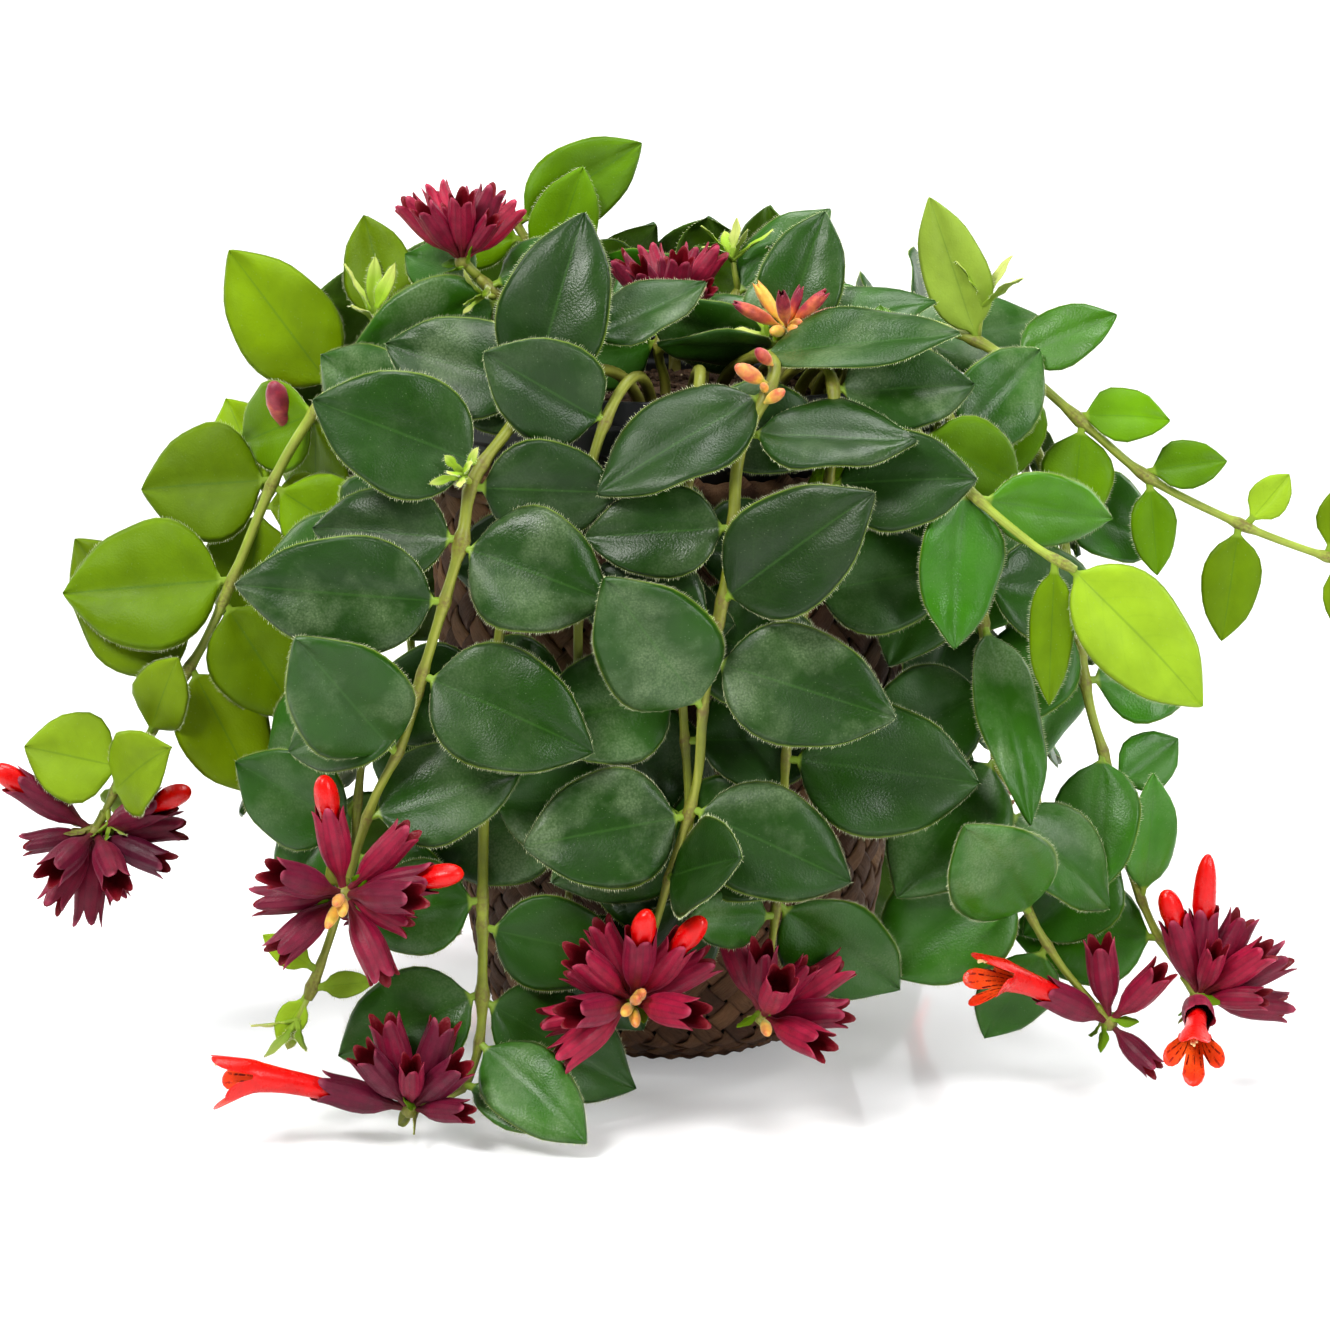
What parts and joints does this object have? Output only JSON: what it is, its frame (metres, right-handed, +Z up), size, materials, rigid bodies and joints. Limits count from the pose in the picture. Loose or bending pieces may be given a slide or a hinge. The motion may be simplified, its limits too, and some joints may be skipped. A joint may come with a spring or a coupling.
{
  "type": "potted lipstick plant in a woven basket",
  "caption": "Trailing lipstick plant with leafy stems and burgundy bloom heads with red flowers, in a black grow pot held in a woven bowl basket that stands on its flat base",
  "frame": {"origin": "middle of the basket's flat base, on the surface that it stands on", "axes": "+Z up along the basket's axis, -Y towards the front of the picture, +X to the right"},
  "size_m": [0.424, 0.267, 0.2727],
  "materials": {
    "woven_bark": "rough bark strips",
    "pot_plastic": "black moulded plastic",
    "potting_soil": "crumbly",
    "leaf_and_stem": "waxy green leaf",
    "calyx": "velvety burgundy",
    "young_calyx": "young orange and pink",
    "corolla": "glossy red petal"
  },
  "bodies": {
    "root": {"basket": "woven_bark", "bloom_head_back_left": "calyx", "bloom_head_back_right": "calyx", "bloom_head_centre_front": "calyx", "bloom_head_far_left": "calyx", "bloom_head_far_right": "calyx", "bloom_head_floor_left": "calyx", "bloom_head_left_front": "calyx", "bloom_head_right_low": "calyx", "bloom_head_right_of_centre": "calyx", "bloom_head_top_centre": "calyx", "bloom_head_top_left": "calyx", "bloom_head_young_buds": "young_calyx", "corolla_back_left_1": "corolla", "corolla_back_right_1": "corolla", "corolla_centre_front_1": "corolla", "corolla_centre_front_2": "corolla", "corolla_far_left_1": "corolla", "corolla_far_left_2": "corolla", "corolla_far_right_1": "corolla", "corolla_far_right_2": "corolla", "corolla_far_right_3": "corolla", "corolla_floor_left_1": "corolla", "corolla_left_front_1": "corolla", "corolla_left_front_2": "corolla", "corolla_right_low_1": "corolla", "grow_pot": "pot_plastic", "leafy_stem_back_1": "leaf_and_stem", "leafy_stem_back_10": "leaf_and_stem", "leafy_stem_back_11": "leaf_and_stem", "leafy_stem_back_12": "leaf_and_stem", "leafy_stem_back_2": "leaf_and_stem", "leafy_stem_back_3": "leaf_and_stem", "leafy_stem_back_4": "leaf_and_stem", "leafy_stem_back_5": "leaf_and_stem", "leafy_stem_back_6": "leaf_and_stem", "leafy_stem_back_7": "leaf_and_stem", "leafy_stem_back_8": "leaf_and_stem", "leafy_stem_back_9": "leaf_and_stem", "leafy_stem_centre_inner": "leaf_and_stem", "leafy_stem_front_centre": "leaf_and_stem", "leafy_stem_front_inner": "leaf_and_stem", "leafy_stem_front_left": "leaf_and_stem", "leafy_stem_front_right_low": "leaf_and_stem", "leafy_stem_left": "leaf_and_stem", "leafy_stem_left_high": "leaf_and_stem", "leafy_stem_left_inner": "leaf_and_stem", "leafy_stem_left_low": "leaf_and_stem", "leafy_stem_right": "leaf_and_stem", "leafy_stem_right_front": "leaf_and_stem", "leafy_stem_right_high": "leaf_and_stem", "leafy_stem_right_inner": "leaf_and_stem", "leafy_stem_top_back": "leaf_and_stem", "leafy_stem_top_buds": "leaf_and_stem", "leafy_stem_top_centre": "leaf_and_stem", "leafy_stem_top_left": "leaf_and_stem", "leafy_stem_top_left_back": "leaf_and_stem", "soil": "potting_soil"}
  },
  "joints": []
}
